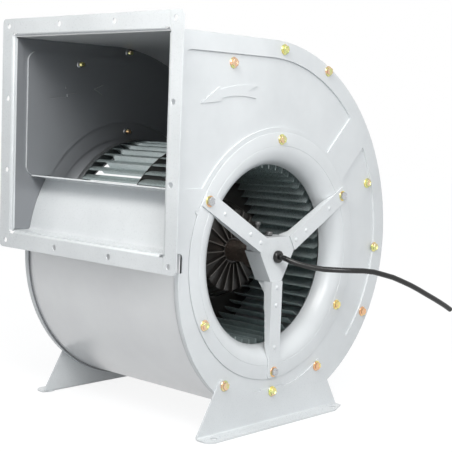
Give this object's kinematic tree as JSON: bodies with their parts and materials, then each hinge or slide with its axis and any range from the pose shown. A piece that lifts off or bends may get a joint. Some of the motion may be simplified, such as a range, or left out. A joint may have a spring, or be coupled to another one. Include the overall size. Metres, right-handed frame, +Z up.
{
  "type": "centrifugal blower",
  "caption": "Double-inlet centrifugal blower: scroll housing on two feet, flanged rectangular outlet, forward-curved impeller on an external-rotor motor held by a three-arm bracket.",
  "frame": {"origin": "on the floor that the feet stand on, at the centre of the four foot bolt holes, under the shaft and at mid width", "axes": "+X runs along the shaft towards the bracket and the motor lead, -Y is the way the air leaves the outlet, +Z is up"},
  "size_m": [0.4495, 0.436, 0.5095],
  "materials": {
    "white_paint": "satin bluish-white coating",
    "galvanised_sheet": "galvanised, softly reflecting",
    "black_paint": "semi-gloss black coating",
    "yellow_zinc": "yellow zinc plating with green and orange tints",
    "bright_zinc": "bright zinc plating",
    "machined_steel": "turned steel",
    "core_steel": "stacked electrical steel",
    "enamelled_copper": "varnished winding",
    "black_rubber": "smooth, slightly glossy"
  },
  "bodies": {
    "housing": {"side_plate_right": "white_paint", "side_plate_left": "white_paint", "scroll_wrapper": "galvanised_sheet", "cutoff_plate": "white_paint", "flange_strip_top": "white_paint", "flange_strip_bottom": "white_paint", "flange_strip_right": "white_paint", "flange_strip_left": "white_paint", "inlet_ring_right": "white_paint", "inlet_ring_left": "white_paint", "foot_right": "white_paint", "foot_left": "white_paint", "bracket_hub": "white_paint", "bracket_arm_1": "white_paint", "bracket_arm_2": "white_paint", "bracket_arm_3": "white_paint", "bracket_bolts": "bright_zinc", "bracket_washers": "yellow_zinc", "shaft_clamp": "machined_steel", "clamp_screws": "bright_zinc", "motor_tube": "machined_steel", "motor_cover": "black_paint", "stator_core": "core_steel", "stator_windings": "enamelled_copper", "bearing_front": "bright_zinc", "bearing_rear": "bright_zinc", "cable_grommet": "black_rubber", "motor_lead": "black_rubber", "ring_screws_right": "yellow_zinc", "ring_screws_left": "yellow_zinc", "plate_screws_right": "yellow_zinc", "plate_screws_left": "yellow_zinc", "foot_screws_right": "yellow_zinc", "foot_screws_left": "yellow_zinc", "screw_nuts_right": "bright_zinc", "screw_nuts_left": "bright_zinc"},
    "impeller": {"rotor_shell": "black_paint", "rotor_flange": "black_paint", "rotor_core": "core_steel", "motor_shaft": "machined_steel", "impeller_disc": "black_paint", "blades_right": "galvanised_sheet", "blades_left": "galvanised_sheet", "end_ring_right": "galvanised_sheet", "end_ring_left": "galvanised_sheet", "disc_rivets": "bright_zinc"}
  },
  "joints": [
    {"name": "impeller_spin", "type": "hinge", "parent": "housing", "child": "impeller", "pos_m": [0, 0, 0.216], "axis": [1, 0, 0], "continuous": true}
  ]
}
